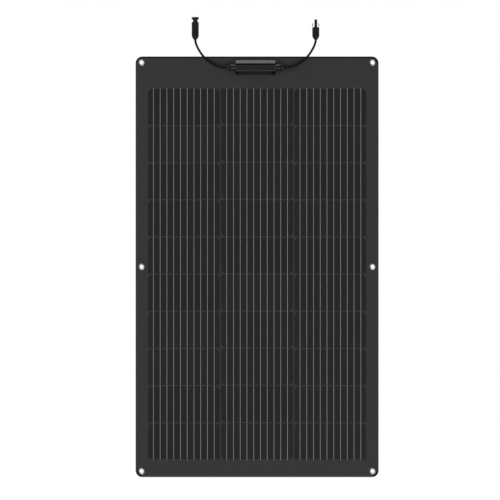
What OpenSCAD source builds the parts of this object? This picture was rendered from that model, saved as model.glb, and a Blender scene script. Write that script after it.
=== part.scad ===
// Flexible solar sheet: three strings of half-cut cells in a thin laminate, with eyelets, a junction
// box on the front and two short leads that end in locking single-pole couplers.
// Millimetres. The sheet lies flat: X across it, Y up it towards the junction box, Z out of the front.

/* [Cells] */
// Width of a half-cut cell
cell_w = 180; // [156:1:210]
// Height of a half-cut cell
cell_h = 90; // [78:0.5:105]
// Thickness of a cell
cell_t = 0.2; // [0.16:0.01:0.3]
// Clipped corner of the wafer, along each edge
wafer_clip = 7.5; // [2:0.5:14]
// Cells in each string
rows = 10; // [6:2:12]
// Gap between two strings
string_gap = 4; // [1.5:0.1:6]
// Gap between two cells of a string
row_gap = 3.3; // [1.5:0.1:5]

/* [Margins] */
// From the cells to the sheet's long edges
side_margin = 31; // [28:0.5:60]
// From the cells to the sheet's top edge
top_margin = 81.3; // [76:0.1:120]
// From the cells to the sheet's bottom edge
bottom_margin = 45; // [30:0.5:80]
// Radius of the sheet's corners
corner_r = 17; // [6:0.5:25]

/* [Layers] */
// Thickness of the back sheet
back_t = 1.0; // [0.9:0.05:1.6]
// Thickness of the encapsulant behind the cells
rear_fill_t = 0.4; // [0.36:0.02:0.8]
// Thickness of the encapsulant in front of the cells
front_fill_t = 0.7; // [0.4:0.05:1.2]
// Thickness of the clear front film
film_t = 0.2; // [0.1:0.05:0.5]

/* [Ribbons] */
// Ribbons on each string
ribbons = 10; // [6:1:12]
// Width of a cell ribbon
ribbon_w = 0.9; // [0.6:0.1:1.5]
// Thickness of a cell ribbon
ribbon_t = 0.2; // [0.1:0.01:0.24]
// From the cell's side edge to the first ribbon
ribbon_inset = 13.7; // [8:0.1:25]
// From a ribbon's end to the edge of its cell
ribbon_end = 1; // [0.5:0.1:4]
// Width of a bus ribbon
bus_w = 5; // [3:0.5:8]
// Thickness of a bus ribbon
bus_t = 0.2; // [0.1:0.01:0.3]
// Gap between the cells and a bus ribbon
bus_gap = 2; // [1.5:0.1:4]
// Width of the feeds to the junction box
feed_w = 6; // [4:0.5:8]
// Gap between the head link and the feeds above it
feed_gap = 5; // [3:0.5:8]
// Thickness of the return run behind the cells
return_t = 0.15; // [0.1:0.01:0.18]
// Thickness of the insulating strip over the return run
strip_t = 0.1; // [0.05:0.01:0.12]

/* [Eyelets] */
// Bore of an eyelet
eyelet_bore = 10; // [6:0.5:12]
// Wall of an eyelet's barrel
eyelet_wall = 0.5; // [0.4:0.1:0.8]
// How far the flange reaches past the bore
flange_reach = 3; // [2:0.1:4]
// Height of the flange over the sheet
flange_t = 0.8; // [0.5:0.1:1.2]
// Thickness of the back washer
washer_t = 0.6; // [0.4:0.05:0.7]
// From an eyelet's centre to the sheet's edges
eyelet_inset = 15; // [13:0.5:18]

/* [Junction box] */
// Length of the box
box_l = 100; // [92:1:140]
// Width of the box
box_w = 36.5; // [34:0.5:50]
// Width of the lid's flat top
box_flat = 18; // [15:0.5:20]
// Radius of the box's corners in plan
box_r = 4; // [2:0.5:6]
// From the sheet's top edge to the box
box_edge_gap = 9; // [4:0.25:12]
// How far the box's middle lies to the right of the sheet's middle
box_x = -4; // [-20:1:20]
// Thickness of the adhesive pad
pad_t = 0.5; // [0.3:0.1:1]
// Thickness of the box's floor
floor_t = 1.5; // [1.2:0.1:2.5]
// Thickness of the lid's gasket
gasket_t = 0.6; // [0.4:0.1:1]
// Wall of the lid
lid_wall = 2; // [1.5:0.1:2.5]
// Upright foot of the lid below its bevels
skirt_h = 1.4; // [1:0.1:3]
// Lid above the cable outlets
lid_cover = 2.6; // [2.4:0.1:6]
// Thickness of the lid's flat top
lid_top_t = 1.8; // [1.2:0.1:2.2]
// How far the leads stand from the box's middle
lead_x = 34; // [31:0.5:36]

/* [Cable outlets] */
// Diameter of a cable
cable_d = 5.6; // [5.2:0.1:5.6]
// Diameter of a stub
stub_d = 11.6; // [11.2:0.1:12]
// Length of a stub
stub_l = 10; // [9:0.5:12]
// Width of an outlet nut across its corners
nut_d = 17.2; // [16.8:0.2:18.4]
// Gap between an outlet nut and the sheet
nut_gap = 0.5; // [0.4:0.1:1]
// Length of the boot past the nut
boot_l = 9; // [7:0.2:14]

/* [Couplers] */
// Diameter of the couplers
coupler_d = 18; // [17.6:0.2:20]
// Diameter of the contacts
contact_d = 4; // [3.6:0.1:4.2]
// Diameter of the probe
probe_d = 7; // [6.8:0.1:7.4]
// Length of a coupler's nut
coupler_nut_l = 22.5; // [20:0.5:24]
// Length of the shell in front of its nut
shell_l = 34; // [32:0.5:38]
// Length of the probe
probe_l = 20.5; // [18:0.5:24]
// Grips on a coupler's nut
coupler_grips = 20; // [12:1:24]
// Width of a latching finger
finger_w = 6; // [4:0.5:6.4]
// Length of a latching finger past the coupler's face
finger_l = 11; // [9:0.5:13]

/* [Clearances] */
// Between pieces that lie inside each other
fit_gap = 0.1; // [0.05:0.01:0.12]
// Between a turning piece and what it turns on
run_gap = 0.06; // [0.03:0.01:0.1]
// Between a contact and the one it slides into
slide_gap = 0.03; // [0.01:0.01:0.05]
// Between moving pieces that don't guide each other
free_gap = 0.35; // [0.3:0.05:0.5]
// Between the couplers and the ground
ground_gap = 0.15; // [0.1:0.05:0.5]

/* [Hidden] */
$fn = 48;
eps = 0.01;

// Heights of the layers
z_back = back_t;
z_cell = z_back + rear_fill_t;
z_front = z_cell + cell_t;
z_film = z_front + front_fill_t;
sheet_t = z_film + film_t;

// Sheet and cell field
field_w = 3 * cell_w + 2 * string_gap;
field_h = rows * cell_h + (rows - 1) * row_gap;
sheet_w = field_w + 2 * side_margin;
sheet_h = field_h + top_margin + bottom_margin;
field_top = sheet_h / 2 - top_margin;
field_foot = field_top - field_h;
field_mid = (field_top + field_foot) / 2;
ribbon_pitch = (cell_w - 2 * ribbon_inset) / (ribbons - 1);
eyelet_x = sheet_w / 2 - eyelet_inset;
eyelet_y = sheet_h / 2 - eyelet_inset;
eyelet_r = eyelet_bore / 2;
flange_r = eyelet_r + flange_reach;
lip = 0.3;
flare = 0.9;

// Bus ribbons
head_y = field_top + bus_gap;
foot_y = field_foot - bus_gap - bus_w;
feed_y = head_y + bus_w + feed_gap;
bus_in = ribbon_inset - 3;
lead_t = 0.3;
lead_w = 7;
lead_gap = 0.2;
return_x = cell_w + string_gap - (ribbons / 2 - 1) * ribbon_pitch;
strip_w = feed_w + 3;

// Junction box
cable_r = cable_d / 2;
stub_r = stub_d / 2;
nut_r = nut_d / 2;
box_y = sheet_h / 2 - box_edge_gap - box_w / 2;
z_pad = sheet_t;
z_base = z_pad + pad_t;
z_floor = z_base + floor_t;
z_lid = z_floor + gasket_t;
outlet_z = sheet_t + nut_r + nut_gap;
notch_r = stub_r + free_gap;
z_top = outlet_z + notch_r + lid_cover;
bevel_z = z_lid + skirt_h;
bevel_w = (box_w - box_flat) / 2;
bevel_h = z_top - bevel_z;
wall_across = lid_wall * norm([bevel_w, bevel_h]) / bevel_h;
gasket_inset = 0.4;
saddle_t = 2.5;
saddle_u = lid_wall + free_gap;
rim_t = 1.5;
rim_h = 2.4;
barrel_r = 2.2;
core_r = 1.2;
jacket_u = 6;
barrel_l = 8;
plate_t = 1;
plate_w = 12;
plate_top = outlet_z - barrel_r + 0.2;
plate_in = 26;
post_r = 2.2;
post_at = [3, 14];
lead_y = box_y - plate_w / 2 - 2;
tab_z = plate_top + lead_t;
tab_y = box_y - barrel_r - 1.3;
diode_r = 2.7;
diode_l = 9;
diode_lead_r = 0.6;
diode_x = plate_in + 2.5;
diode_z = plate_top + diode_r + 0.3;

// Cable outlets, along the outlet from the end face of the box
seal_l = 6;
seal_r = cable_r + 1.7;
boot_r = cable_r + 1.5;
boot_tip_r = cable_r + 0.7;
collar_t = 1.2;
slip_t = 0.8;
collar_r = stub_r - 0.3;
nut_from = 0.8;
nut_seat = stub_l + collar_t + slip_t + fit_gap;
nut_step = nut_seat + 1;
rim_from = nut_step + 2;
nut_to = rim_from + 5;
nose_r = stub_r + 0.3;
rim_r = nut_r - 0.8;
boot_to = nut_to + boot_l;

// Couplers, along the coupler from the cable's entry
coupler_r = coupler_d / 2;
coupler_z = coupler_r + ground_gap;
taper_l = 9;
entry_r = cable_r + 0.6;
seat_s = 7.6;
ring_l = 2.2;
tail_s = 10.4;
tail_r = coupler_r - 2.3;
grommet_s = 18;
grommet_r = cable_r + 2.1;
face_s = coupler_nut_l + 0.2;
shell_s = face_s + shell_l;
body_s = face_s + 7.8;
probe_s = body_s + probe_l;
probe_r = probe_d / 2;
contact_r = contact_d / 2;
crimp_r = contact_r + 0.6;
stop_r = contact_r + 0.9;
core_l = 8;
stop_l = 4;
mouth_r = probe_r + 0.4;
mouth_l = 23;
pin_from = shell_s - mouth_l + 1;
pin_l = 14.5;
pin_tip = 0.8;
neck_x = 5.65;
neck_from = shell_s - 12;
neck_to = shell_s - 6.7;
shoulder_from = shell_s - 13.6;
shoulder_to = shell_s - 4.9;
latch_room = 0.2;
latch_l = 8;
socket_r = contact_r + 0.7;
pivot_x = coupler_r - 1.8;
pivot_s = body_s - 1.2;
knuckle_r = 0.9;
finger_t = 1.2;
finger_x = pivot_x + knuckle_r - finger_t;
barb = 0.65;
barb_l = 6;
barb_land = 2;
o_ring_r = 0.85;

// Cable route: outwards from the box's end face, up the sheet from the box's middle, height
route_u = 101.25;
route_v = 69.25;
route = [
    [-6, 0, outlet_z], [3, 0, outlet_z], [12, 0, outlet_z], [21, 0, outlet_z], [29, 0, outlet_z],
    [39, 1.3, 11.2], [49, 5.1, 9.9], [59, 10.4, 8.4], [68.5, 16.75, 7.1], [77.5, 24.25, 6.2],
    [85, 32.75, 5.7], [91.3, 42.25, 5.9], [96.2, 51.5, 6.8], [99.7, 60.5, 8.2], [route_u, route_v, coupler_z],
    [route_u, route_v + 9, coupler_z], [route_u, route_v + 18, coupler_z]
];
cable_sides = 12;

function unit(v) = v / norm(v);
function string_x(i) = (i - 1) * (cell_w + string_gap);
function row_y(r) = field_top - cell_h / 2 - r * (cell_h + row_gap);
function ribbon_x(i, k) = string_x(i) + (k - (ribbons - 1) / 2) * ribbon_pitch;

// Flat shapes
module round_rect(w, h, r) {
    square([w - 2 * r, h], center = true);
    square([w, h - 2 * r], center = true);
    for (x = [-1, 1], y = [-1, 1]) {
        translate([x * (w / 2 - r), y * (h / 2 - r)]) circle(r);
    }
}

module slab(z0, z1) {
    translate([0, 0, z0]) linear_extrude(z1 - z0) children();
}

module bar(x0, y0, z0, x1, y1, z1) {
    translate([x0, y0, z0]) cube([x1 - x0, y1 - y0, z1 - z0]);
}

// A y-z outline drawn out along X
module along_x(x0, x1, outline) {
    translate([x0, 0, 0]) rotate([90, 0, 90]) linear_extrude(x1 - x0) polygon(outline);
}

module ring(r_out, r_in, z0, z1) {
    rotate_extrude() translate([r_in, z0]) square([r_out - r_in, z1 - z0]);
}

// Places
module at_eyelets() {
    for (x = [-1, 1], y = [-1, 0, 1]) {
        translate([x * eyelet_x, y * eyelet_y, 0]) children();
    }
}

module at_box() {
    translate([box_x, box_y, 0]) children();
}

module at_outlet(side) {
    translate([box_x + side * box_l / 2, box_y, outlet_z]) rotate([0, side * 90, 0]) children();
}

module at_coupler(side) {
    translate([box_x + side * (box_l / 2 + route_u), box_y + route_v, coupler_z])
        rotate([-90, 0, 0]) children();
}

// Sheet
module eyelet_holes(r, z0, z1) {
    at_eyelets() translate([0, 0, z0]) cylinder(r = r, h = z1 - z0);
}

module sheet_layer(z0, z1) {
    difference() {
        slab(z0, z1) round_rect(sheet_w, sheet_h, corner_r);
        eyelet_holes(eyelet_r + eyelet_wall + fit_gap, z0 - 1, z1 + 1);
    }
}

module lead_slots(z0, z1) {
    for (x = [-1, 1]) {
        bar(box_x + x * lead_x - lead_w / 2 - lead_gap, lead_y - lead_t - lead_gap, z0,
            box_x + x * lead_x + lead_w / 2 + lead_gap, lead_y + lead_gap, z1);
    }
}

module back_sheet() {
    color([0.12, 0.12, 0.13]) difference() {
        sheet_layer(0, z_back);
        eyelet_holes(flange_r + fit_gap, -1, washer_t);
    }
}

module rear_encapsulant() {
    color([0.1, 0.1, 0.11]) difference() {
        sheet_layer(z_back, z_cell);
        for (i = [0 : 2], k = [0 : ribbons - 1]) {
            bar(ribbon_x(i, k) - ribbon_w / 2, foot_y, z_cell - ribbon_t,
                ribbon_x(i, k) + ribbon_w / 2, head_y + bus_w, z_cell + 1);
        }
        return_run(z_back - 1);
        return_joint();
        bar(box_x + lead_x - lead_w / 2 - lead_gap, lead_y - lead_t - lead_gap, z_back,
            box_x + lead_x + lead_w / 2 + lead_gap, lead_y + lead_gap, z_cell + 1);
        return_strip();
    }
}

module front_encapsulant() {
    color([0.8, 0.85, 0.9, 0.25]) difference() {
        sheet_layer(z_cell, z_film);
        for (i = [0 : 2]) {
            cell_string(i);
            for (k = [0 : ribbons - 1]) {
                bar(ribbon_x(i, k) - ribbon_w / 2, field_foot - bus_gap, z_cell - 1,
                    ribbon_x(i, k) + ribbon_w / 2, head_y, z_front + ribbon_t);
            }
        }
        negative_run();
        foot_link();
        head_link();
        positive_collector();
        lead_slots(z_cell - 1, z_film + 1);
    }
}

module front_film() {
    color([0.85, 0.9, 0.95, 0.2]) difference() {
        sheet_layer(z_film, sheet_t);
        lead_slots(z_film - 1, sheet_t + 1);
    }
}

// Cells and ribbons
module half_cell(up) {
    w = cell_w / 2;
    h = cell_h / 2;
    c = wafer_clip;
    mirror([0, up ? 0 : 1]) polygon([
        [-w, -h], [w, -h], [w, h - c], [w - c, h], [c - w, h], [-w, h - c]
    ]);
}

module cell_string(i) {
    for (r = [0 : rows - 1]) {
        translate([string_x(i), row_y(r), 0]) slab(z_cell, z_front) half_cell(i != 1);
    }
}

module left_cells() {
    color([0.05, 0.06, 0.12]) cell_string(0);
}

module middle_cells() {
    color([0.05, 0.06, 0.12]) cell_string(1);
}

module right_cells() {
    color([0.05, 0.06, 0.12]) cell_string(2);
}

// One ribbon runs over a cell, steps down in the gap and ends under the next cell or a bus
module cell_ribbon(i, k, r) {
    low = row_y(r) - cell_h / 2 + ribbon_end;
    edge = row_y(r) + cell_h / 2;
    gap = r == 0 ? bus_gap : row_gap;
    reach = r == 0 ? gap + bus_w : gap + cell_h - ribbon_end;
    step = 0.25;
    along_x(ribbon_x(i, k) - ribbon_w / 2, ribbon_x(i, k) + ribbon_w / 2, [
        [low, z_front], [edge + step, z_front], [edge + gap - step, z_cell - ribbon_t],
        [edge + reach, z_cell - ribbon_t], [edge + reach, z_cell], [edge + gap - step, z_cell],
        [edge + step, z_front + ribbon_t], [low, z_front + ribbon_t]
    ]);
}

module string_ribbons(i) {
    for (k = [0 : ribbons - 1]) {
        for (r = [0 : rows - 1]) {
            cell_ribbon(i, k, r);
        }
        bar(ribbon_x(i, k) - ribbon_w / 2, foot_y, z_cell - ribbon_t,
            ribbon_x(i, k) + ribbon_w / 2, field_foot + cell_h - ribbon_end, z_cell);
    }
}

module left_ribbons() {
    color([0.75, 0.75, 0.76]) string_ribbons(0);
}

module middle_ribbons() {
    color([0.75, 0.75, 0.76]) translate([0, 2 * field_mid, 0]) mirror([0, 1, 0]) string_ribbons(1);
}

module right_ribbons() {
    color([0.75, 0.75, 0.76]) string_ribbons(2);
}

// Bus ribbons and feeds
module bus(i0, i1, y) {
    x0 = string_x(i0) - cell_w / 2 + bus_in;
    x1 = string_x(i1) + cell_w / 2 - bus_in;
    bar(x0, y, z_cell, x1, y + bus_w, z_cell + bus_t);
}

module lead(x, z0) {
    bar(x - lead_w / 2, lead_y - lead_t, z0, x + lead_w / 2, lead_y, tab_z);
    bar(x - lead_w / 2, lead_y - lead_t, plate_top, x + lead_w / 2, tab_y, tab_z);
}

module negative_run() {
    x0 = string_x(0) + cell_w / 2 - bus_in - feed_w;
    x1 = box_x - lead_x + feed_w / 2;
    bus(0, 0, head_y);
    bar(x0, head_y, z_cell, x0 + feed_w, feed_y + feed_w, z_cell + bus_t);
    bar(x0, feed_y, z_cell, x1, feed_y + feed_w, z_cell + bus_t);
    bar(x1 - feed_w, feed_y, z_cell, x1, lead_y, z_cell + bus_t);
}

module negative_bus() {
    color([0.16, 0.16, 0.17]) {
        negative_run();
        lead(box_x - lead_x, z_cell);
    }
}

module foot_link() {
    color([0.16, 0.16, 0.17]) bus(0, 1, foot_y);
}

module head_link() {
    color([0.16, 0.16, 0.17]) bus(1, 2, head_y);
}

module positive_collector() {
    bus(2, 2, foot_y);
}

module return_joint() {
    bar(return_x - feed_w / 2, foot_y, z_back, return_x + feed_w / 2, foot_y + bus_w, z_cell);
}

module return_run(z0) {
    x0 = box_x + lead_x - feed_w / 2;
    z1 = z_back + return_t;
    bar(return_x - feed_w / 2, foot_y, z0, return_x + feed_w / 2, feed_y + feed_w, z1);
    bar(x0, feed_y, z0, return_x + feed_w / 2, feed_y + feed_w, z1);
    bar(x0, feed_y, z0, x0 + feed_w, lead_y, z1);
}

module positive_bus() {
    color([0.16, 0.16, 0.17]) {
        positive_collector();
        return_joint();
        return_run(z_back);
        lead(box_x + lead_x, z_back);
    }
}

module return_strip() {
    bar(return_x - strip_w / 2, field_foot, z_back + return_t,
        return_x + strip_w / 2, feed_y - 1, z_back + return_t + strip_t);
}

module return_insulator() {
    color([0.9, 0.9, 0.88]) return_strip();
}

// Eyelets
module eyelets() {
    r = eyelet_r;
    w = eyelet_wall;
    t = flange_t;
    color([0.7, 0.7, 0.7]) at_eyelets() rotate_extrude() polygon([
        [r + lip, 0], [r, lip], [r, sheet_t + 0.4 * t], [r + lip, sheet_t + 0.85 * t],
        [r + 1, sheet_t + t], [flange_r - 0.7, sheet_t + 0.75 * t], [flange_r, sheet_t + 0.3 * t],
        [flange_r, sheet_t], [r + w, sheet_t], [r + w, washer_t], [r + w + flare, 0]
    ]);
}

module eyelet_washers() {
    r = eyelet_r + eyelet_wall + fit_gap;
    color([0.65, 0.65, 0.66]) at_eyelets() rotate_extrude() polygon([
        [r, washer_t], [r + flare, 0], [flange_r, 0], [flange_r, washer_t]
    ]);
}

// Junction box
module box_pad() {
    color([0.2, 0.2, 0.2]) difference() {
        at_box() slab(z_pad, z_base) round_rect(box_l - 1, box_w - 1, box_r);
        lead_slots(z_pad - 1, z_base + 1);
    }
}

module lid_outline(inset) {
    round_rect(box_l - 2 * inset, box_w - 2 * inset, box_r - inset / 2);
}

module rim_outline(inset) {
    w = box_w - 2 * wall_across - 2 * free_gap;
    translate([-box_l / 2 + saddle_u + inset, -w / 2 + inset])
        square([box_l - 2 * saddle_u - 2 * inset, w - 2 * inset]);
}

module box_base() {
    color([0.09, 0.09, 0.1]) difference() {
        union() {
            at_box() {
                slab(z_base, z_floor) lid_outline(0);
                slab(z_base, z_floor + rim_h) difference() {
                    rim_outline(0);
                    rim_outline(rim_t);
                }
                for (x = [-1, 1]) {
                    translate([x * (box_l / 2 - saddle_u - saddle_t / 2), 0, (z_base + outlet_z) / 2])
                        cube([saddle_t, 2 * stub_r, outlet_z - z_base], center = true);
                    translate([x * (box_l / 2 - saddle_u / 2), 0, (z_lid + outlet_z) / 2])
                        cube([saddle_u + eps, 2 * stub_r, outlet_z - z_lid], center = true);
                    for (d = post_at) {
                        translate([x * (plate_in + d), 0, z_base])
                            cylinder(r = post_r, h = plate_top - plate_t - z_base);
                    }
                }
            }
            for (side = [-1, 1]) {
                at_outlet(side) translate([0, 0, -saddle_u - saddle_t])
                    cylinder(r = stub_r, h = saddle_u + saddle_t + stub_l);
            }
        }
        for (side = [-1, 1]) {
            at_outlet(side) {
                translate([0, 0, -saddle_u - saddle_t - 1])
                    cylinder(r = cable_r + free_gap, h = saddle_u + saddle_t + stub_l + 2);
                translate([0, 0, stub_l - seal_l]) cylinder(r = seal_r + fit_gap, h = seal_l + 1);
            }
        }
        lead_slots(z_base - 1, z_floor + 1);
        gasket_ring();
    }
}

module gasket_ring() {
    at_box() slab(z_floor, z_lid) difference() {
        lid_outline(gasket_inset);
        rim_outline(-fit_gap);
    }
}

module lid_gasket() {
    color([0.15, 0.15, 0.15]) gasket_ring();
}

// Cross-section of the lid, or of its hollow at a depth below the faces
module lid_section(x0, x1, hollow) {
    w = hollow ? wall_across : 0;
    top = hollow ? z_top - lid_top_t : z_top;
    foot = hollow ? z_lid - 1 : z_lid;
    half = box_w / 2 - w;
    cap = box_flat / 2 - w + (z_top - top) * bevel_w / bevel_h;
    along_x(x0, x1, [
        [-half, foot], [half, foot], [half, bevel_z], [cap, top], [-cap, top], [-half, bevel_z]
    ]);
}

module box_lid() {
    color([0.08, 0.08, 0.09]) at_box() difference() {
        intersection() {
            lid_section(-box_l / 2, box_l / 2, false);
            slab(z_lid - 1, z_top + 1) lid_outline(0);
        }
        lid_section(-box_l / 2 + lid_wall, box_l / 2 - lid_wall, true);
        for (x = [-1, 1]) {
            translate([x * box_l / 2, 0, outlet_z]) rotate([0, 90, 0])
                cylinder(r = notch_r, h = 4 * lid_wall, center = true);
            translate([x * box_l / 2, 0, (outlet_z + z_lid - 1) / 2])
                cube([4 * lid_wall, 2 * notch_r, outlet_z - z_lid + 1], center = true);
        }
    }
}

module terminal(side) {
    x_end = box_l / 2 - jacket_u - 1;
    difference() {
        union() {
            at_box() translate([side > 0 ? plate_in : -x_end, -plate_w / 2, plate_top - plate_t])
                cube([x_end - plate_in, plate_w, plate_t]);
            at_outlet(side) translate([0, 0, -jacket_u - 1 - barrel_l])
                cylinder(r = barrel_r, h = barrel_l);
        }
        at_outlet(side) translate([0, 0, -jacket_u - 2 - barrel_l])
            cylinder(r = core_r + run_gap, h = barrel_l + 2);
    }
}

module negative_terminal() {
    color([0.8, 0.78, 0.72]) terminal(-1);
}

module positive_terminal() {
    color([0.8, 0.78, 0.72]) terminal(1);
}

module bypass_diode() {
    color([0.1, 0.1, 0.11]) at_box() {
        translate([0, 0, diode_z]) rotate([0, 90, 0]) {
            cylinder(r = diode_r, h = diode_l, center = true);
            cylinder(r = diode_lead_r, h = 2 * diode_x, center = true);
        }
        for (x = [-1, 1]) {
            translate([x * diode_x, 0, plate_top]) cylinder(r = diode_lead_r, h = diode_z - plate_top);
            translate([x * diode_x, 0, diode_z]) sphere(diode_lead_r);
        }
    }
}

// Cable outlets
module outlet_seal(side) {
    color([0.2, 0.2, 0.2]) at_outlet(side) ring(seal_r, cable_r + run_gap, stub_l - seal_l, stub_l);
}

module outlet_boot(side) {
    a = stub_l + collar_t;
    s = boot_to - nut_to;
    b = cable_r + run_gap;
    color([0.12, 0.12, 0.12]) at_outlet(side) rotate_extrude() polygon([
        [b, stub_l], [collar_r, stub_l], [collar_r, a], [boot_r, a], [boot_r, nut_to + 0.15 * s],
        [boot_tip_r + 0.5, nut_to + 0.75 * s], [boot_tip_r, boot_to], [b, boot_to]
    ]);
}

module slip_washer(side) {
    a = stub_l + collar_t;
    color([0.75, 0.75, 0.74]) at_outlet(side) ring(collar_r, boot_r + free_gap, a, a + slip_t);
}

module outlet_nut(side) {
    color([0.07, 0.07, 0.08]) at_outlet(side) difference() {
        union() {
            translate([0, 0, nut_from]) rotate(30) cylinder(r = nut_r, h = nut_step - nut_from, $fn = 6);
            translate([0, 0, nut_from]) cylinder(r = nose_r, h = nut_to - nut_from);
            translate([0, 0, rim_from]) cylinder(r = rim_r, h = nut_to - rim_from);
        }
        translate([0, 0, nut_from - 1]) cylinder(r = stub_r + run_gap, h = nut_seat - nut_from + 1);
        translate([0, 0, nut_from - 1]) cylinder(r = boot_r + free_gap, h = nut_to - nut_from + 2);
    }
}

module left_outlet_seal() {
    outlet_seal(-1);
}

module left_outlet_boot() {
    outlet_boot(-1);
}

module left_slip_washer() {
    slip_washer(-1);
}

module left_outlet_nut() {
    outlet_nut(-1);
}

module right_outlet_seal() {
    outlet_seal(1);
}

module right_outlet_boot() {
    outlet_boot(1);
}

module right_slip_washer() {
    slip_washer(1);
}

module right_outlet_nut() {
    outlet_nut(1);
}

// Cables
module cable(side) {
    n = len(route);
    m = cable_sides;
    pts = [for (p = route) [box_x + side * (box_l / 2 + p[0]), box_y + p[1], p[2]]];
    tan = [for (i = [0 : n - 1]) unit(pts[min(i + 1, n - 1)] - pts[max(i - 1, 0)])];
    across = [for (t = tan) unit(cross(t, [0, 0, 1]))];
    rise = [for (i = [0 : n - 1]) cross(across[i], tan[i])];
    skin = [for (i = [0 : n - 1], j = [0 : m - 1])
        pts[i] + cable_r * (cos(360 * j / m) * across[i] + sin(360 * j / m) * rise[i])];
    walls = [for (i = [0 : n - 2], j = [0 : m - 1])
        [i * m + j, i * m + (j + 1) % m, (i + 1) * m + (j + 1) % m, (i + 1) * m + j]];
    start = [[for (j = [m - 1 : -1 : 0]) j]];
    finish = [[for (j = [0 : m - 1]) (n - 1) * m + j]];
    polyhedron(points = skin, faces = concat(walls, start, finish));
}

// Bare copper past the jacket, in the box and in the coupler
module core(side) {
    at_outlet(side) translate([0, 0, -jacket_u - 1 - barrel_l]) cylinder(r = core_r, h = barrel_l + 1);
    at_coupler(side) translate([0, 0, grommet_s]) cylinder(r = core_r, h = core_l);
}

module left_cable() {
    color([0.06, 0.06, 0.06]) cable(-1);
}

module right_cable() {
    color([0.06, 0.06, 0.06]) cable(1);
}

module left_core() {
    color([0.75, 0.45, 0.3]) core(-1);
}

module right_core() {
    color([0.75, 0.45, 0.3]) core(1);
}

// Pieces that both couplers have
module coupler_nut(side) {
    r0 = entry_r + 0.7;
    dr = coupler_r - r0;
    color([0.07, 0.07, 0.08]) at_coupler(side) difference() {
        rotate_extrude() polygon([
            [entry_r, 0], [r0, 0], [r0 + 0.15 * dr, 0.14 * taper_l], [r0 + 0.5 * dr, 0.42 * taper_l],
            [r0 + 0.8 * dr, 0.7 * taper_l], [coupler_r - 0.3, taper_l], [coupler_r - 0.1, taper_l + 0.6],
            [coupler_r - 0.1, coupler_nut_l - 0.5], [coupler_r - 0.5, coupler_nut_l],
            [tail_r + run_gap, coupler_nut_l], [tail_r + run_gap, seat_s], [entry_r, seat_s]
        ]);
        for (k = [0 : coupler_grips - 1]) {
            rotate(360 * k / coupler_grips) translate([coupler_r + 0.35, 0, taper_l + 0.5])
                cylinder(r = 0.9, h = coupler_nut_l - taper_l - 2);
        }
    }
}

module clamp_ring(side) {
    color([0.3, 0.3, 0.31]) at_coupler(side)
        ring(tail_r - free_gap, cable_r + free_gap, seat_s + fit_gap, seat_s + fit_gap + ring_l);
}

module cable_seal(side) {
    color([0.2, 0.2, 0.2]) at_coupler(side)
        ring(grommet_r, cable_r + run_gap, seat_s + fit_gap + ring_l, grommet_s - fit_gap);
}

module tail() {
    translate([0, 0, tail_s]) cylinder(r = tail_r, h = face_s - tail_s + 1);
}

module tail_bores(stop_s) {
    translate([0, 0, tail_s - 1]) cylinder(r = grommet_r + fit_gap, h = grommet_s - tail_s + 1);
    translate([0, 0, grommet_s - 1]) cylinder(r = stop_r + fit_gap, h = stop_s - grommet_s + 1);
}

module crimp(stop_s) {
    s0 = grommet_s + 2 * fit_gap;
    difference() {
        union() {
            translate([0, 0, s0]) cylinder(r = crimp_r, h = stop_s - s0);
            translate([0, 0, stop_s - stop_l]) cylinder(r = stop_r, h = stop_l - fit_gap);
        }
        translate([0, 0, grommet_s - 1]) cylinder(r = core_r + run_gap, h = core_l + 1.2);
    }
}

// Coupler with the pin
module pin_shell() {
    cut = coupler_r + 1;
    color([0.08, 0.08, 0.09]) at_coupler(-1) difference() {
        union() {
            tail();
            rotate_extrude() polygon([
                [0, face_s], [coupler_r - 0.4, face_s], [coupler_r, face_s + 0.4],
                [coupler_r, shell_s - 0.6], [coupler_r - 0.6, shell_s], [0, shell_s]
            ]);
        }
        tail_bores(pin_from);
        translate([0, 0, shell_s - mouth_l]) cylinder(r = mouth_r, h = mouth_l + 1);
        for (x = [0, 1]) {
            mirror([x, 0, 0]) {
                rotate([90, 0, 0]) translate([0, 0, -cut]) linear_extrude(2 * cut) polygon([
                    [neck_x, neck_from], [cut, shoulder_from], [cut, shoulder_to], [neck_x, neck_to]
                ]);
                bar(neck_x, -finger_w / 2 - latch_room, shell_s - latch_l,
                    coupler_r - 1, finger_w / 2 + latch_room, shell_s + 1);
            }
        }
    }
}

module contact_pin() {
    color([0.8, 0.8, 0.8]) at_coupler(-1) union() {
        crimp(pin_from);
        translate([0, 0, pin_from - 1]) cylinder(r = contact_r, h = pin_l);
        translate([0, 0, pin_from + pin_l - 1]) cylinder(r1 = contact_r, r2 = contact_r - pin_tip, h = 1);
    }
}

module pin_cable_seal() {
    cable_seal(-1);
}

module pin_clamp_ring() {
    clamp_ring(-1);
}

module pin_coupler_nut() {
    coupler_nut(-1);
}

// Coupler with the socket
module socket_body() {
    color([0.08, 0.08, 0.09]) at_coupler(1) difference() {
        union() {
            tail();
            rotate_extrude() polygon([
                [0, face_s], [coupler_r - 0.4, face_s], [coupler_r, face_s + 0.4],
                [coupler_r, body_s - 0.6], [coupler_r - 0.6, body_s], [probe_r, body_s],
                [probe_r, probe_s - 0.8], [probe_r - 0.5, probe_s], [0, probe_s]
            ]);
        }
        tail_bores(body_s);
        translate([0, 0, body_s - 1]) cylinder(r = socket_r + fit_gap, h = probe_l + 0.2);
        translate([0, 0, body_s]) cylinder(r = contact_r + free_gap, h = probe_l + 1);
        for (x = [0, 1]) {
            mirror([x, 0, 0]) {
                translate([pivot_x, 0, pivot_s]) rotate([90, 0, 0])
                    cylinder(r = knuckle_r + run_gap, h = finger_w + 2 * latch_room, center = true);
                bar(finger_x - free_gap, -finger_w / 2 - latch_room, pivot_s,
                    finger_x + finger_t + fit_gap, finger_w / 2 + latch_room, body_s + 1);
            }
        }
    }
}

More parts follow.
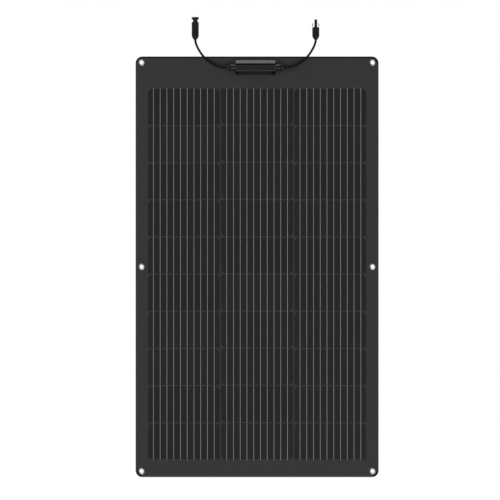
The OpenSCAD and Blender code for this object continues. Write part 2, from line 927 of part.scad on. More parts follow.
module contact_socket() {
    color([0.8, 0.8, 0.8]) at_coupler(1) difference() {
        union() {
            crimp(body_s);
            translate([0, 0, body_s - 1]) cylinder(r = socket_r, h = probe_l);
        }
        translate([0, 0, body_s + 1]) cylinder(r = contact_r + slide_gap, h = probe_l);
    }
}

module probe_o_ring() {
    color([0.12, 0.12, 0.12]) at_coupler(1) translate([0, 0, body_s + o_ring_r + run_gap])
        rotate_extrude() translate([probe_r + o_ring_r + fit_gap, 0]) circle(o_ring_r);
}

module finger(x) {
    f = finger_x;
    t = f + finger_t;
    s = body_s + finger_l;
    color([0.08, 0.08, 0.09]) at_coupler(1) mirror([x, 0, 0]) union() {
        translate([pivot_x, 0, pivot_s]) rotate([90, 0, 0])
            cylinder(r = knuckle_r, h = finger_w, center = true);
        rotate([90, 0, 0]) translate([0, 0, -finger_w / 2]) linear_extrude(finger_w) polygon([
            [f, pivot_s], [t, pivot_s], [t, s - barb_l], [t + barb, s - barb_l],
            [t + barb, s - barb_l + barb_land], [t - 0.2, s], [f, s]
        ]);
    }
}

module left_finger() {
    finger(1);
}

module right_finger() {
    finger(0);
}

module socket_cable_seal() {
    cable_seal(1);
}

module socket_clamp_ring() {
    clamp_ring(1);
}

module socket_coupler_nut() {
    coupler_nut(1);
}

back_sheet();
rear_encapsulant();
front_encapsulant();
front_film();
left_cells();
middle_cells();
right_cells();
left_ribbons();
middle_ribbons();
right_ribbons();
negative_bus();
foot_link();
head_link();
positive_bus();
return_insulator();
eyelets();
eyelet_washers();
box_pad();
box_base();
lid_gasket();
box_lid();
negative_terminal();
positive_terminal();
bypass_diode();
left_outlet_seal();
left_outlet_boot();
left_slip_washer();
left_outlet_nut();
right_outlet_seal();
right_outlet_boot();
right_slip_washer();
right_outlet_nut();
left_cable();
left_core();
right_cable();
right_core();
pin_shell();
contact_pin();
pin_cable_seal();
pin_clamp_ring();
pin_coupler_nut();
socket_body();
contact_socket();
probe_o_ring();
left_finger();
right_finger();
socket_cable_seal();
socket_clamp_ring();
socket_coupler_nut();
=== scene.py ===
"""Studio scene of a flexible solar sheet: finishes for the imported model, and its rounded and soft pieces.

Lengths are in metres unless a comment or a docstring says mm, and colours are linear.
"""

import math

import bmesh
import bpy
import numpy as np
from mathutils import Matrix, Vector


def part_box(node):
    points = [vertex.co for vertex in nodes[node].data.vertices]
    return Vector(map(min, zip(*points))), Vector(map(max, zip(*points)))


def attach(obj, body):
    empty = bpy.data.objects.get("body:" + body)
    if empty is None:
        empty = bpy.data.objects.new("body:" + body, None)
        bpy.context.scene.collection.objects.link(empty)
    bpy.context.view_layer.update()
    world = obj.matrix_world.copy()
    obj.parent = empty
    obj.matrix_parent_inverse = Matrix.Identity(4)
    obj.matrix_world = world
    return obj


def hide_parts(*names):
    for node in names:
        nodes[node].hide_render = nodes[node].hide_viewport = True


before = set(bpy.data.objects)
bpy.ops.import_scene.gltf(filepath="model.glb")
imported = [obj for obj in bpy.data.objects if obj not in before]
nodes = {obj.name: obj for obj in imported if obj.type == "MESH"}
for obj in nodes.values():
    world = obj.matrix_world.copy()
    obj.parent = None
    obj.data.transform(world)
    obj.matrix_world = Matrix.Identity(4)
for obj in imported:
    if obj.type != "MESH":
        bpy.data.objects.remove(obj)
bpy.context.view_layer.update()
MM = 0.001

# Camera: straight above the sheet, with a long lens. The sensor is in mm, the rest in metres.
VIEW_WIDTH = 1.2552
VIEW_CENTRE = (-0.01784, 0.0422)
CAMERA_HEIGHT = 20.0
CAMERA_REACH = 100
SENSOR = 36.0

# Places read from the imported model.
SHEET_LOW, SHEET_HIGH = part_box("back_sheet")
SHEET_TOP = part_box("front_film")[1].z
CELL_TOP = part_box("left_cells")[1].z
BOX_LOW, BOX_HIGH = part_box("box_lid")
BOX_X = (BOX_LOW.x + BOX_HIGH.x) / 2
BOX_Y = (BOX_LOW.y + BOX_HIGH.y) / 2
BOX_HALF = (BOX_HIGH.x - BOX_LOW.x) / 2
OUTLET_LOW, OUTLET_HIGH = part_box("left_outlet_nut")
OUTLET_Z = (OUTLET_LOW.z + OUTLET_HIGH.z) / 2

# Sizes shared with the part's source.
LID_FLAT = 18 * MM
CORNER_R = 17 * MM
COLUMN_PITCH = 184 * MM
ROW_PITCH = 93.3 * MM
CABLE_D = 5.6 * MM
STRINGS = ("left", "middle", "right")
SIDES = {"left": -1, "right": 1}

# Cable route: outwards from the box's end face, up the sheet from the box's middle, height (mm).
ROUTE = [
    (-6, 0, 11.6), (3, 0, 11.6), (12, 0, 11.6), (21, 0, 11.6), (29, 0, 11.6),
    (39, 1.3, 11.2), (49, 5.1, 9.9), (59, 10.4, 8.4), (68.5, 16.75, 7.1), (77.5, 24.25, 6.2),
    (85, 32.75, 5.7), (91.3, 42.25, 5.9), (96.2, 51.5, 6.8), (99.7, 60.5, 8.2), (101.25, 69.25, 9.15),
    (101.25, 78.25, 9.15), (101.25, 87.25, 9.15),
]


# Materials

class Wire:
    """One output of a node. Arithmetic on it adds Math nodes to its finish."""

    def __init__(self, finish, socket):
        self.finish = finish
        self.socket = socket

    def math(self, operation, *others):
        return self.finish.math(operation, self, *others)

    def __add__(self, other):
        return self.math("ADD", other)

    def __sub__(self, other):
        return self.math("SUBTRACT", other)

    def __rsub__(self, other):
        return self.finish.math("SUBTRACT", other, self)

    def __mul__(self, other):
        return self.math("MULTIPLY", other)

    def __truediv__(self, other):
        return self.math("DIVIDE", other)

    def __lt__(self, other):
        return self.math("LESS_THAN", other)

    def __gt__(self, other):
        return self.math("GREATER_THAN", other)

    __radd__ = __add__
    __rmul__ = __mul__

    def ease(self, start, end):
        """From 0 where the value is at start to 1 where it is at end, with soft turns."""
        if end < start:
            return 1 - self.ease(end, start)
        inputs = {"Value": self, "From Min": start, "From Max": end}
        return self.finish.add("MapRange", {"interpolation_type": "SMOOTHSTEP"}, inputs)

    def spread(self, low, high):
        """A value from 0 to 1 as a number from low to high."""
        return self * (high - low) + low


class Finish:
    """A node tree under construction. add() puts in any node and gives one of its outputs as a Wire."""

    def __init__(self, owner):
        owner.use_nodes = True
        self.owner = owner
        self.tree = owner.node_tree
        self.tree.nodes.clear()

    def add(self, kind, settings=None, inputs=None, out=0):
        node = self.tree.nodes.new("ShaderNode" + kind)
        for key, value in (settings or {}).items():
            setattr(node, key, value)
        for key, value in (inputs or {}).items():
            if isinstance(value, Wire):
                self.tree.links.new(value.socket, node.inputs[key])
            else:
                node.inputs[key].default_value = value
        return Wire(self, node.outputs[out]) if node.outputs else None

    def math(self, operation, *values):
        return self.add("Math", {"operation": operation}, dict(enumerate(values)))

    def outputs(self, wire):
        """Every output of the node behind a wire, by name."""
        return {socket.name: Wire(self, socket) for socket in wire.socket.node.outputs}

    def place(self):
        """The place on the piece, in metres."""
        return self.add("TexCoord", out="Object")

    def axes(self, vector=None):
        """The x, y and z of a vector, or else of the place on the piece."""
        split = self.add("SeparateXYZ", inputs={0: vector or self.place()})
        return self.outputs(split).values()

    def noise(self, size, detail=3.0, vector=None):
        """Cloudy noise from 0 to 1 with features of about that size in metres."""
        inputs = {"Vector": vector or self.place(), "Scale": 1 / size, "Detail": detail}
        return self.add("TexNoise", inputs=inputs)

    def weave(self, thread):
        """A plain weave, from -1 to 1: a sine across times a sine along, with one wave to a thread."""
        x, y, _ = self.axes()
        wave = math.tau / thread
        return (x * wave).math("SINE") * (y * wave).math("SINE")

    def blend(self, factor, first, second):
        """From the first colour to the second as the factor goes from 0 to 1."""
        return self.add("Mix", {"data_type": "RGBA"}, {0: factor, 6: first, 7: second}, out=2)

    def shade(self, inputs, relief=None, depth=0.0):
        """Ends the finish in one Principled shader, with a relief of that depth in metres if it has one."""
        if relief is not None:
            bump = {"Height": relief, "Distance": depth, "Strength": 1.0}
            inputs["Normal"] = self.add("Bump", inputs=bump)
        shader = self.add("BsdfPrincipled", inputs=inputs)
        self.add("OutputMaterial", inputs={"Surface": shader})
        return self.owner

    def shade_under_film(self, colour, rough):
        """Ends a finish that is seen through the front film, with the film's gloss and pebbled relief."""
        inputs = {"Vector": self.place(), "Scale": 1 / FILM_PEBBLE}
        pebbles = self.add("TexVoronoi", inputs=inputs, out="Distance")
        return self.shade({"Base Color": colour, "Roughness": rough, **FILM_GLOSS}, pebbles, FILM_RELIEF)


def grey(level, warm=0.0):
    """A linear grey, a little warmer (positive) or bluer (negative)."""
    return (level * (1 + warm), level, level * (1 - warm), 1)


def new_finish(name):
    return Finish(bpy.data.materials.new(name))


# Front film: its gloss, and the width and depth of the pebbles in its face.
FILM_GLOSS = {"Specular IOR Level": 0.14, "IOR": 1.4}
FILM_PEBBLE = 1.4 * MM
FILM_RELIEF = 0.06 * MM

# Ground around the cells: its darkest and palest tone, and the range of its roughness.
GROUND_TONES = (grey(0.0383), grey(0.0441))
GROUND_ROUGH = (0.36, 0.44)


def cell_silicon():
    """Dark cells: each a slightly different tone, with hair-fine printed lines across and a faint cloud."""
    line_pitch, line_share, line_strength = 1.3 * MM, 0.06, 0.5
    finish = new_finish("cell_silicon")
    x, y, _ = finish.axes()
    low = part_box("middle_cells")[0]
    column = ((x - low.x) / COLUMN_PITCH).math("FLOOR")
    row = ((y - low.y) / ROW_PITCH).math("FLOOR")
    index = finish.add("CombineXYZ", inputs={0: column, 1: row})
    tone = finish.add("TexWhiteNoise", {"noise_dimensions": "2D"}, {"Vector": index})
    line = ((y / line_pitch).math("FRACT") < line_share) * line_strength
    cloud = finish.noise(60 * MM)
    colour = finish.blend(tone * 0.6 + cloud * 0.4, grey(0.0144, -0.01), grey(0.018, -0.01))
    colour = finish.blend(line, colour, grey(0.05))
    return finish.shade_under_film(colour, cloud.spread(0.34, 0.42))


def tinned_copper():
    """Dull tinned ribbon: pale grey with soft streaks along it."""
    finish = new_finish("tinned_copper")
    stretch = finish.add("Mapping", inputs={"Vector": finish.place(), "Scale": (1, 0.05, 1)})
    streak = finish.noise(0.5 * MM, 2.0, stretch)
    colour = finish.blend(streak, grey(0.33), grey(0.455))
    rough = streak.spread(0.4, 0.55)
    return finish.shade({"Base Color": colour, "Metallic": 0.3, "Roughness": rough, **FILM_GLOSS})


def dark_ground():
    """The dark layer between and around the cells, with a faint glass-fibre weave, a painted highlight that
    makes it paler towards the foot, and painted shade that makes it nearly black along the head and in the
    four corners."""
    foot_highlight_band, head_shade_band, corner_shade_band, fade = 7 * MM, 4.2 * MM, 4.2 * MM, 1 * MM
    corner_fade = 4 * MM
    finish = new_finish("dark_ground")
    x, y, _ = finish.axes()
    cloud = finish.noise(25 * MM)
    colour = finish.blend(cloud * 0.7 + finish.weave(1.1 * MM) * 0.15, *GROUND_TONES)
    low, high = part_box("left_cells")[0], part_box("right_cells")[1]
    among_cells = (x > low.x) * (x < high.x) * (y > low.y) * (y < high.y)
    colour = finish.blend(among_cells, colour, grey(0.0405))
    # Painted highlight: paler towards the foot edge.
    foot = ((SHEET_LOW.y - y) / foot_highlight_band + 1).math("MAXIMUM", 0)
    colour = finish.blend(foot * foot, colour, grey(0.1))
    # Painted shade: nearly black along the head edge.
    colour = finish.blend(y > SHEET_HIGH.y - head_shade_band, colour, grey(0.008))
    # Painted shade: nearly black in a band round the edge of each of the four corners.
    across = x.math("ABSOLUTE") - (SHEET_HIGH.x - CORNER_R)
    along = y.math("ABSOLUTE") - (SHEET_HIGH.y - CORNER_R)
    reach = (across * across + along * along).math("SQRT")
    corner_shade_ring = reach.ease(CORNER_R - corner_shade_band - fade, CORNER_R - corner_shade_band)
    corner = across.ease(0, corner_fade) * along.ease(0, corner_fade) * corner_shade_ring
    colour = finish.blend(corner, colour, grey(0.0015))
    return finish.shade_under_film(colour, cloud.spread(*GROUND_ROUGH))


def black_bus():
    """Black-coated bus ribbon, which all but vanishes on the ground."""
    finish = new_finish("black_bus")
    cloud = finish.noise(3 * MM)
    colour = finish.blend(cloud, *GROUND_TONES)
    return finish.shade_under_film(colour, cloud.spread(*GROUND_ROUGH))


def back_laminate():
    """Matt black back: a woven glass-fibre face with a light scuff here and there."""
    finish = new_finish("back_laminate")
    weave = finish.weave(1.6 * MM) * 0.5 + 0.5
    cloud = finish.noise(40 * MM)
    colour = finish.blend(weave * 0.5 + cloud * 0.5, grey(0.016), grey(0.03))
    return finish.shade({"Base Color": colour, "Roughness": cloud.spread(0.5, 0.68)}, weave, 0.06 * MM)


def clear_film():
    """The clear, finely textured front: it lets nearly all light through."""
    finish = new_finish("clear_film")
    colour = finish.blend(finish.noise(20 * MM), grey(0.03), grey(0.05))
    inputs = {"Base Color": colour, "Roughness": 0.3, "Alpha": 0.04}
    return finish.shade(inputs, finish.noise(1.0 * MM), 0.01 * MM)


def moulded_plastic(name, level, rough, gloss, grain):
    """Moulded plastic: fine grain of the given size, worn a little paler in patches."""
    finish = new_finish(name)
    cloud = finish.noise(9 * MM)
    inputs = {
        "Base Color": finish.blend(cloud, grey(level), grey(level * 1.5)),
        "Roughness": cloud.spread(rough - 0.05, rough + 0.05), "Specular IOR Level": gloss,
    }
    return finish.shade(inputs, finish.noise(grain), 0.02 * MM)


def lid_plastic():
    """Satin black lid, with painted shade in a dark line along the upper edge of its flat top, a painted
    highlight in a paler line along the lower edge, painted light that makes the lower bevel paler, and
    painted shade in the lower corners."""
    edge, highlight_width, coat_lost = LID_FLAT / 2, 1.2 * MM, 0.97
    finish = new_finish("lid_plastic")
    x, y, _ = finish.axes()
    cloud = finish.noise(9 * MM)
    up = y - BOX_Y
    out = (x - BOX_X).math("ABSOLUTE")
    inside = edge - up
    # Painted shade: a near-black line without coat along the flat top's upper edge, where it meets the
    # upper bevel.
    crease_shade = inside.ease(-1.3 * MM, -0.9 * MM) * inside.ease(3.5 * MM, 3 * MM)
    # Painted highlight: a paler line along the flat top's lower edge.
    edge_highlight = up.ease(-edge - highlight_width, -edge) * up.ease(-edge + highlight_width, -edge)
    # Painted shade: near-black lower corners without coat.
    lid_corner_shade = out.ease(BOX_HALF - 12 * MM, BOX_HALF - 5 * MM) * up.ease(-9.5 * MM, -12.5 * MM)
    # Painted light: the lower bevel paler, with less coat.
    lit_lower_bevel = up.ease(1.5 * MM - edge, 0.2 * MM - edge)
    colour = finish.blend(cloud, grey(0.0024), grey(0.0038))
    # Painted light on the lower bevel, painted highlight along the lower edge, and painted shade in the
    # upper edge line and the lower corners.
    colour = finish.blend(lit_lower_bevel, colour, finish.blend(cloud, grey(0.012), grey(0.015)))
    colour = finish.blend(edge_highlight * (cloud * 0.4 + 0.6), colour, grey(0.0145))
    colour = finish.blend(crease_shade.math("MAXIMUM", lid_corner_shade), colour, grey(0.0008))
    inputs = {
        "Base Color": colour, "Roughness": cloud.spread(0.26, 0.36), "Specular IOR Level": 0.12,
        "Coat Weight": (1 - lid_corner_shade * coat_lost) * (1 - crease_shade * coat_lost) * (0.89 - lit_lower_bevel * 0.4),
        "Coat Roughness": 0.14, "Coat IOR": 1.8,
    }
    return finish.shade(inputs, finish.noise(0.6 * MM), 0.02 * MM)


def outlet_plastic():
    """Glossy black plastic of the outlet nuts: painted shade in the groove, and a duller rim at the outer
    end.
    """
    groove_start, rim_start, fade = 12.6 * MM, 15 * MM, 0.4 * MM
    finish = new_finish("outlet_plastic")
    x, _, _ = finish.axes()
    cloud = finish.noise(9 * MM)
    out = (x - BOX_X).math("ABSOLUTE") - BOX_HALF
    # Painted shade in the groove: near black, with the coat mostly taken away.
    groove = out.ease(groove_start, groove_start + fade) * out.ease(rim_start + fade, rim_start)
    rim = out.ease(rim_start, rim_start + fade)
    colour = finish.blend(cloud, grey(0.004), grey(0.006))
    colour = finish.blend(groove, finish.blend(rim, colour, grey(0.012)), grey(0.0008))
    inputs = {
        "Base Color": colour, "Roughness": cloud.spread(0.4, 0.5), "Specular IOR Level": 0.08,
        "Coat Weight": 0.8 - groove * 0.77 - rim * 0.58, "Coat Roughness": 0.16,
    }
    return finish.shade(inputs, finish.noise(0.5 * MM), 0.02 * MM)


def soft_rubber(name, level, rough, gloss):
    """Matt rubber with a faint dusty bloom."""
    finish = new_finish(name)
    bloom = finish.noise(6 * MM, 5.0)
    inputs = {
        "Base Color": finish.blend(bloom, grey(level), grey(level * 1.6)),
        "Roughness": bloom.spread(rough, rough + 0.12), "Specular IOR Level": gloss,
    }
    return finish.shade(inputs, finish.noise(0.4 * MM), 0.015 * MM)


def bare_metal(name, colour, rough, streak_size):
    """Bare metal with fine random streaks in its gloss."""
    finish = new_finish(name)
    streak = finish.noise(streak_size, 4.0)
    darker = tuple(0.85 * channel for channel in colour[:3]) + (1,)
    inputs = {
        "Base Color": finish.blend(streak, darker, colour), "Metallic": 1.0,
        "Roughness": streak.spread(rough - 0.06, rough + 0.08),
    }
    return finish.shade(inputs)


# Surfaces

def soften(profile, radius, steps=4):
    """Rounds each corner of a closed outline: a parabola that leaves both sides at the given distance from
    the corner, or at 0.45 of the shorter side."""
    points = np.asarray(profile, float)
    back = np.roll(points, 1, axis=0) - points
    on = np.roll(points, -1, axis=0) - points
    long_back = np.linalg.norm(back[:, :2], axis=1, keepdims=True)
    long_on = np.linalg.norm(on[:, :2], axis=1, keepdims=True)
    cut = np.minimum(radius, 0.45 * np.minimum(long_back, long_on))
    start = points + back / long_back * cut
    end = points + on / long_on * cut
    t = np.linspace(0, 1, steps)[None, :, None]
    arcs = (1 - t) ** 2 * start[:, None] + 2 * t * (1 - t) * points[:, None] + t**2 * end[:, None]
    return arcs.reshape(-1, points.shape[1])


def ribbed_reach(radius, ribs, depth, steps=240):
    """Reach at each angle of a drum with rounded grooves along it: the radius less a wave of that depth,
    which is the square of a cosine raised to run from 0 to 1."""
    turn = np.linspace(0, math.tau, steps, endpoint=False)
    return radius - depth * (0.5 + 0.5 * np.cos(ribs * turn)) ** 2


def hexagon_reach(flat, steps=240, sharpness=14):
    """Reach at each angle of a hexagon with rounded corners: the flat's distance over the root of the
    summed powers of the angle's cosines to the three pairs of flats, one of which faces up and down."""
    turn = np.linspace(0, math.tau, steps, endpoint=False)
    facing = np.abs(np.cos(turn[None, :] - np.radians((30, 90, 150))[:, None]))
    return flat / (facing**sharpness).sum(axis=0) ** (1 / sharpness)


def lathe_grip(profile, reach):
    """A closed outline of (radius, height, grip) turned about Z. Where grip is 1, no point is further out
    than the reach at its angle; where it is 0, the ring is round."""
    radius, height, grip = np.asarray(profile, float).T[:, :, None]
    turn = np.linspace(0, math.tau, len(reach), endpoint=False)[None, :]
    out = radius + grip * (np.minimum(radius, reach[None, :]) - radius)
    return np.stack((out * np.cos(turn), out * np.sin(turn), height + 0 * turn), axis=2)


def lathe(profile, steps=72):
    """A closed outline of (radius, height) turned about Z."""
    return lathe_grip(np.column_stack((profile, np.zeros(len(profile)))), np.full(steps, np.inf))


def ring_faces(rows, columns, first):
    """Quads of a grid of points that closes on itself both ways, numbered from first."""
    index = first + np.arange(rows * columns).reshape(rows, columns)
    on = np.roll(index, -1, axis=1)
    up = np.roll(index, -1, axis=0)
    return np.stack((index, on, np.roll(on, -1, axis=0), up), axis=2).reshape(-1, 4)


def add_object(name, data):
    """Puts a new object into the scene, at the origin."""
    item = bpy.data.objects.new(name, data)
    bpy.context.scene.collection.objects.link(item)
    return item


def mesh_piece(name, grids):
    """One mesh of closed rings: each grid of points becomes a smooth closed surface."""
    shapes = [grid.shape[:2] for grid in grids]
    starts = np.cumsum([0] + [rows * columns for rows, columns in shapes])
    points = np.concatenate([grid.reshape(-1, 3) for grid in grids])
    faces = np.concatenate([ring_faces(*shape, start) for shape, start in zip(shapes, starts)])
    mesh = bpy.data.meshes.new(name)
    mesh.from_pydata(points.tolist(), [], faces.tolist())
    mesh.shade_smooth()
    return add_object(name, mesh)


def along_outlet(points, side):
    """Turns a form about Z onto an outlet's axis: its height runs outwards from the box's end face."""
    x, y, z = np.moveaxis(points, 2, 0)
    return np.stack((BOX_X + side * (BOX_HALF + z), BOX_Y + x, OUTLET_Z + side * y), axis=2)


def along_coupler(points, low, high):
    """Turns a form about Z onto a coupler's axis: its height runs towards +Y from the low corner's end."""
    x, y, z = np.moveaxis(points, 2, 0)
    return np.stack(((low.x + high.x) / 2 + x, low.y + z, (low.z + high.z) / 2 - y), axis=2)


def dress(piece, material):
    """Gives a piece or a CAD node one material."""
    piece.data.materials.clear()
    piece.data.materials.append(material)


def dress_nodes(material, *names):
    """Gives CAD nodes one material."""
    for name in names:
        dress(nodes[name], material)


def finish_piece(piece, body, slot, material, *replaced):
    """Dresses a new piece, lets it ride on a body and hides the CAD nodes that it stands in for."""
    dress(piece, material)
    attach(piece, body)
    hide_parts(*replaced)


# Pieces

def make_camera():
    """A camera that looks straight down on a square VIEW_WIDTH wide, with the sheet's head at the top."""
    data = bpy.data.cameras.new("camera")
    data.sensor_width = SENSOR
    data.lens = SENSOR * CAMERA_HEIGHT / VIEW_WIDTH
    data.clip_end = CAMERA_REACH
    camera = add_object("camera", data)
    camera.location = (*VIEW_CENTRE, CAMERA_HEIGHT + SHEET_TOP)
    bpy.context.scene.camera = camera


def route_points(side):
    """The cable's route in metres, on the left (side -1) or the right (side 1) of the box."""
    out, up, height = np.array(ROUTE, float).T * MM
    return np.column_stack((BOX_X + side * (BOX_HALF + out), BOX_Y + up, height))


def make_cable(hand, material):
    """A round cable: one smooth spline through the route's points, with a round section."""
    name = hand + "_cable_jacket"
    points = route_points(SIDES[hand])
    data = bpy.data.curves.new(name, "CURVE")
    data.dimensions = "3D"
    data.bevel_depth = CABLE_D / 2
    data.bevel_resolution = 6
    data.resolution_u = 8
    data.use_fill_caps = True
    spline = data.splines.new("BEZIER")
    spline.bezier_points.add(len(points) - 1)
    spline.bezier_points.foreach_set("co", points.ravel())
    for knot in spline.bezier_points:
        knot.handle_left_type = "AUTO"
        knot.handle_right_type = "AUTO"
    piece = add_object(name, data)
    finish_piece(piece, "sheet", "cable_jacket", material, hand + "_cable")


def make_clear_front(material):
    """The film and the clear layer under it as one skin: the film's own face, with its underside drawn down
    past the faces of the cells."""
    same_place, face_margin, overlap = 0.001 * MM, 0.05 * MM, 0.15 * MM
    mesh = nodes["front_film"].data.copy()
    mesh.name = "clear_front"
    merged = bmesh.new()
    merged.from_mesh(mesh)
    bmesh.ops.remove_doubles(merged, verts=merged.verts, dist=same_place)
    merged.to_mesh(mesh)
    merged.free()
    points = np.zeros((len(mesh.vertices), 3), np.float32)
    mesh.vertices.foreach_get("co", points.ravel())
    points[points[:, 2] < SHEET_TOP - face_margin, 2] = CELL_TOP - overlap
    mesh.vertices.foreach_set("co", points.ravel())
    piece = add_object("clear_front", mesh)
    finish_piece(piece, "sheet", "clear_film", material, "front_film", "front_encapsulant")


def make_eyelets(material):
    """Six eyelets turned from one outline (mm): a straight barrel, a domed flange and a flared end."""
    bore, wall, flange, top = 5.0, 0.5, 8.0, SHEET_TOP / MM
    flare, lip, dome = 0.9, 0.3, 0.8
    outline = [
        (bore + lip, 0), (bore + wall + flare, 0), (bore + wall, 0.6), (bore + wall, top),
        (flange, top), (flange, top + lip), (flange - 0.7, top + 0.62), (bore + 1.1, top + dome),
        (bore + 0.35, top + 0.68), (bore, top + lip), (bore, 0.4),
    ]
    ring = lathe(soften(outline, 0.4)) * MM
    low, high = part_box("eyelets")
    inset = flange * MM
    spots = [(x, y) for x in (low.x + inset, high.x - inset) for y in (low.y + inset, 0, high.y - inset)]
    piece = mesh_piece("eyelet_rings", [ring + np.array((x, y, 0)) for x, y in spots])
    finish_piece(piece, "sheet", "eyelet_metal", material, "eyelets")


def make_outlet_nut(hand, material):
    """An outlet nut turned about the outlet's axis, in mm from the box's end face: a hexagon with chamfered
    ends, a groove, and a round rim."""
    low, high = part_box(hand + "_outlet_nut")
    start = 0.8
    end = start + (high.x - low.x) / MM
    corner = (high.y - low.y) / MM / 2
    flat = corner * math.cos(math.pi / 6)
    rim, nose, stub, hole = corner - 0.8, 5.3, 5.86, 4.65
    step, rim_start, shoulder = end - 7, end - 5, end - 8
    outline = [
        (stub, start, 0), (flat - 0.2, start, 0), (flat + 0.2, start, 1), (corner, start + 1.4, 1),
        (corner, step - 1.6, 1), (flat + 0.1, step, 1), (flat - 0.6, step, 0), (nose, step, 0),
        (nose, rim_start, 0), (rim - 0.5, rim_start, 0), (rim, rim_start + 0.5, 0), (rim, end - 0.8, 0),
        (rim - 0.8, end, 0), (hole, end, 0), (hole, shoulder, 0), (stub, shoulder, 0),
    ]
    form = lathe_grip(soften(outline, 0.35), hexagon_reach(flat)) * MM
    piece = mesh_piece(hand + "_outlet_grip", [along_outlet(form, SIDES[hand])])
    finish_piece(piece, hand + "_outlet_nut", "nut_plastic", material, hand + "_outlet_nut")


def make_outlet_boot(hand, material):
    """A tapered boot, in mm from the box's end face: a collar and a sleeve in the nut, a neck, and a sleeve
    whose radius falls to the tip, less the square of a raised cosine that makes its ring grooves."""
    cable, collar, sleeve, neck, tip = CABLE_D / MM / 2 + 0.06, 5.5, 4.3, 3.3, 3.5
    start, shoulder, nut_end, neck_end, end = 10, 11.2, 20.1, 22.4, 29.1
    root, grooves, groove_depth = sleeve + 0.15, 2, 0.45
    t = np.linspace(0, 1, 61)
    wave = (0.5 - 0.5 * np.cos(math.tau * grooves * t)) ** 2
    radius = root + (tip - root) * t**1.1 - groove_depth * wave
    inner = [(cable, start), (collar, start), (collar, shoulder), (sleeve, shoulder), (sleeve, nut_end),
             (neck, nut_end + 0.3), (neck, neck_end - 0.2)]
    grooved = np.column_stack((radius, neck_end + (end - neck_end) * t))
    outline = np.concatenate((inner, grooved, [(cable, end)]))
    form = lathe(soften(outline, 0.25)) * MM
    piece = mesh_piece(hand + "_boot", [along_outlet(form, SIDES[hand])])
    finish_piece(piece, "sheet", "boot_rubber", material, hand + "_outlet_boot")


def make_coupler_nut(kind, material):
    """A coupler's nut, in mm from its cable end: a domed end and a drum with fine rounded grips."""
    low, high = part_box(kind + "_coupler_nut")
    drum = (high.x - low.x) / MM / 2
    end = (high.y - low.y) / MM
    entry, tail, seat, taper = 3.4, 6.76, 7.6, 9.0
    ribs, rib_depth = 20, 0.65
    rim = entry + 0.7
    rise = drum - rim
    outline = [
        (entry, 0, 0), (rim, 0, 0), (rim + 0.15 * rise, 0.14 * taper, 0),
        (rim + 0.5 * rise, 0.42 * taper, 0), (rim + 0.8 * rise, 0.7 * taper, 0),
        (drum - 0.2, taper, 0), (drum, taper + 0.6, 0), (drum, taper + 1.4, 1), (drum, end - 2.2, 1),
        (drum, end - 1.4, 0), (drum, end - 0.5, 0), (drum - 0.4, end, 0),
        (tail, end, 0), (tail, seat, 0), (entry, seat, 0),
    ]
    form = lathe_grip(soften(outline, 0.6), ribbed_reach(drum, ribs, rib_depth)) * MM
    piece = mesh_piece(kind + "_nut_grip", [along_coupler(form, low, high)])
    finish_piece(piece, kind + "_nut", "nut_plastic", material, kind + "_coupler_nut")
    return piece


def round_edges(name, width, segments):
    """Rounds the hard edges of a CAD node with modifiers, which leave its own mesh as it is."""
    node = nodes[name]
    weld = node.modifiers.new("weld", "WELD")
    weld.merge_threshold = 0.002 * MM
    flat = node.modifiers.new("flat", "DECIMATE")
    flat.decimate_type = "DISSOLVE"
    flat.angle_limit = math.radians(0.5)
    bevel = node.modifiers.new("bevel", "BEVEL")
    bevel.width = width
    bevel.segments = segments
    bevel.limit_method = "ANGLE"
    bevel.angle_limit = math.radians(32)
    bevel.use_clamp_overlap = False
    bevel.harden_normals = True


# Stage

def make_floor():
    """A plain pale floor. To the camera and in gloss it is mostly white, and the rest keeps the shadow."""
    half, below = 40, -0.3 * MM
    # The white is a little over 1, so that with the lit paint's share the open floor is seen at 1.
    white_share, white_strength = 0.96, 1.012
    finish = new_finish("pale_floor")
    rays = finish.outputs(finish.add("LightPath"))
    seen = rays["Is Camera Ray"] + rays["Is Glossy Ray"] + rays["Is Transmission Ray"]
    share = seen.math("MINIMUM", 1) * white_share
    paint = finish.add("BsdfDiffuse", inputs={"Color": grey(0.86)})
    white = finish.add("Emission", inputs={"Color": grey(1), "Strength": white_strength})
    mixed = finish.add("MixShader", inputs={0: share, 1: paint, 2: white})
    finish.add("OutputMaterial", inputs={"Surface": mixed})
    mesh = bpy.data.meshes.new("floor")
    corners = [(-half, -half, below), (half, -half, below), (half, half, below), (-half, half, below)]
    mesh.from_pydata(corners, [], [(0, 1, 2, 3)])
    floor = add_object("floor", mesh)
    dress(floor, finish.owner)


def make_sky(horizon, zenith):
    """Soft light from all round: dim overhead, bright at the horizon, most of all past the sheet's head."""
    world = bpy.data.worlds.new("studio")
    bpy.context.scene.world = world
    finish = Finish(world)
    _, y, z = finish.axes(finish.add("TexCoord", out="Generated"))
    ahead = y * 0.35 + 0.65
    fall = (1 - z.math("MAXIMUM", 0)).math("POWER", 1.6)
    strength = (fall * ahead).spread(zenith, horizon)
    light = finish.add("Background", inputs={"Color": grey(1), "Strength": strength})
    finish.add("OutputWorld", inputs={"Surface": light})


def make_lamp(name, place, width, power):
    """A large soft square lamp that faces the sheet's middle and that the camera doesn't see."""
    data = bpy.data.lights.new(name, "AREA")
    data.shape = "SQUARE"
    data.size = width
    data.energy = power
    lamp = add_object(name, data)
    lamp.location = place
    lamp.rotation_mode = "QUATERNION"
    lamp.rotation_quaternion = lamp.location.to_track_quat("Z", "Y")
    lamp.visible_camera = False


make_camera()
bpy.context.scene.view_settings.view_transform = "Standard"

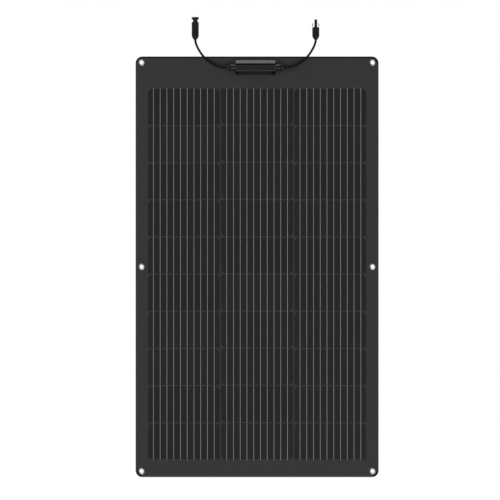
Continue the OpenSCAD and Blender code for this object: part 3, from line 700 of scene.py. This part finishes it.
nut_plastic = moulded_plastic("nut_plastic", level=0.009, rough=0.38, gloss=0.12, grain=0.5 * MM)
cable_jacket = soft_rubber("cable_jacket", level=0.0065, rough=0.46, gloss=0.04)
pin_nut = make_coupler_nut("pin", nut_plastic)
socket_nut = make_coupler_nut("socket", nut_plastic)
make_cable("left", cable_jacket)
make_cable("right", cable_jacket)

make_clear_front(clear_film())
make_eyelets(bare_metal("eyelet_nickel", grey(0.3), rough=0.36, streak_size=2 * MM))
outlet_black = outlet_plastic()
boot_rubber = soft_rubber("boot_rubber", level=0.006, rough=0.48, gloss=0.12)
for hand in SIDES:
    make_outlet_nut(hand, outlet_black)
    make_outlet_boot(hand, boot_rubber)

dress_nodes(cell_silicon(), *(string + "_cells" for string in STRINGS))
dress_nodes(tinned_copper(), *(string + "_ribbons" for string in STRINGS))
dress_nodes(back_laminate(), "back_sheet")
dress_nodes(dark_ground(), "rear_encapsulant")
dress_nodes(black_bus(), "negative_bus", "foot_link", "head_link", "positive_bus")
dress_nodes(moulded_plastic("white_insulator", level=0.6, rough=0.5, gloss=0.3, grain=1 * MM),
            "return_insulator")
dress_nodes(bare_metal("washer_nickel", grey(0.3), rough=0.4, streak_size=2 * MM), "eyelet_washers")
dress_nodes(lid_plastic(), "box_lid", "box_base")
dress_nodes(moulded_plastic("coupler_plastic", level=0.0105, rough=0.38, gloss=0.12, grain=0.5 * MM),
            "pin_shell", "socket_body", "left_finger", "right_finger")
dress_nodes(moulded_plastic("pale_plastic", level=0.4, rough=0.5, gloss=0.4, grain=0.5 * MM),
            "left_slip_washer", "right_slip_washer", "pin_clamp_ring", "socket_clamp_ring")
dress_nodes(soft_rubber("seal_rubber", level=0.014, rough=0.6, gloss=0.15),
            "box_pad", "lid_gasket", "left_outlet_seal", "right_outlet_seal", "pin_cable_seal",
            "socket_cable_seal", "probe_o_ring")
dress_nodes(bare_metal("terminal_tin", (0.62, 0.6, 0.55, 1), rough=0.35, streak_size=1 * MM),
            "negative_terminal", "positive_terminal")
dress_nodes(moulded_plastic("diode_plastic", level=0.015, rough=0.5, gloss=0.4, grain=0.3 * MM),
            "bypass_diode")
dress_nodes(bare_metal("contact_tin", grey(0.65), rough=0.25, streak_size=0.8 * MM),
            "contact_pin", "contact_socket")
dress_nodes(bare_metal("bare_copper", (0.6, 0.3, 0.18, 1), rough=0.35, streak_size=0.4 * MM),
            "left_core", "right_core")

round_edges("box_lid", width=0.35 * MM, segments=3)
round_edges("box_base", width=0.25 * MM, segments=3)
for name in ("pin_shell", "socket_body"):
    round_edges(name, width=0.25 * MM, segments=2)
for name in ("left_finger", "right_finger"):
    round_edges(name, width=0.15 * MM, segments=2)

make_floor()
make_sky(horizon=1.0, zenith=0.15)
make_lamp("key_lamp", place=(-2.1, 4.06, 7.7), width=5, power=190)
make_lamp("fill_lamp", place=(1.4, -6.44, 9.8), width=6.7, power=739)
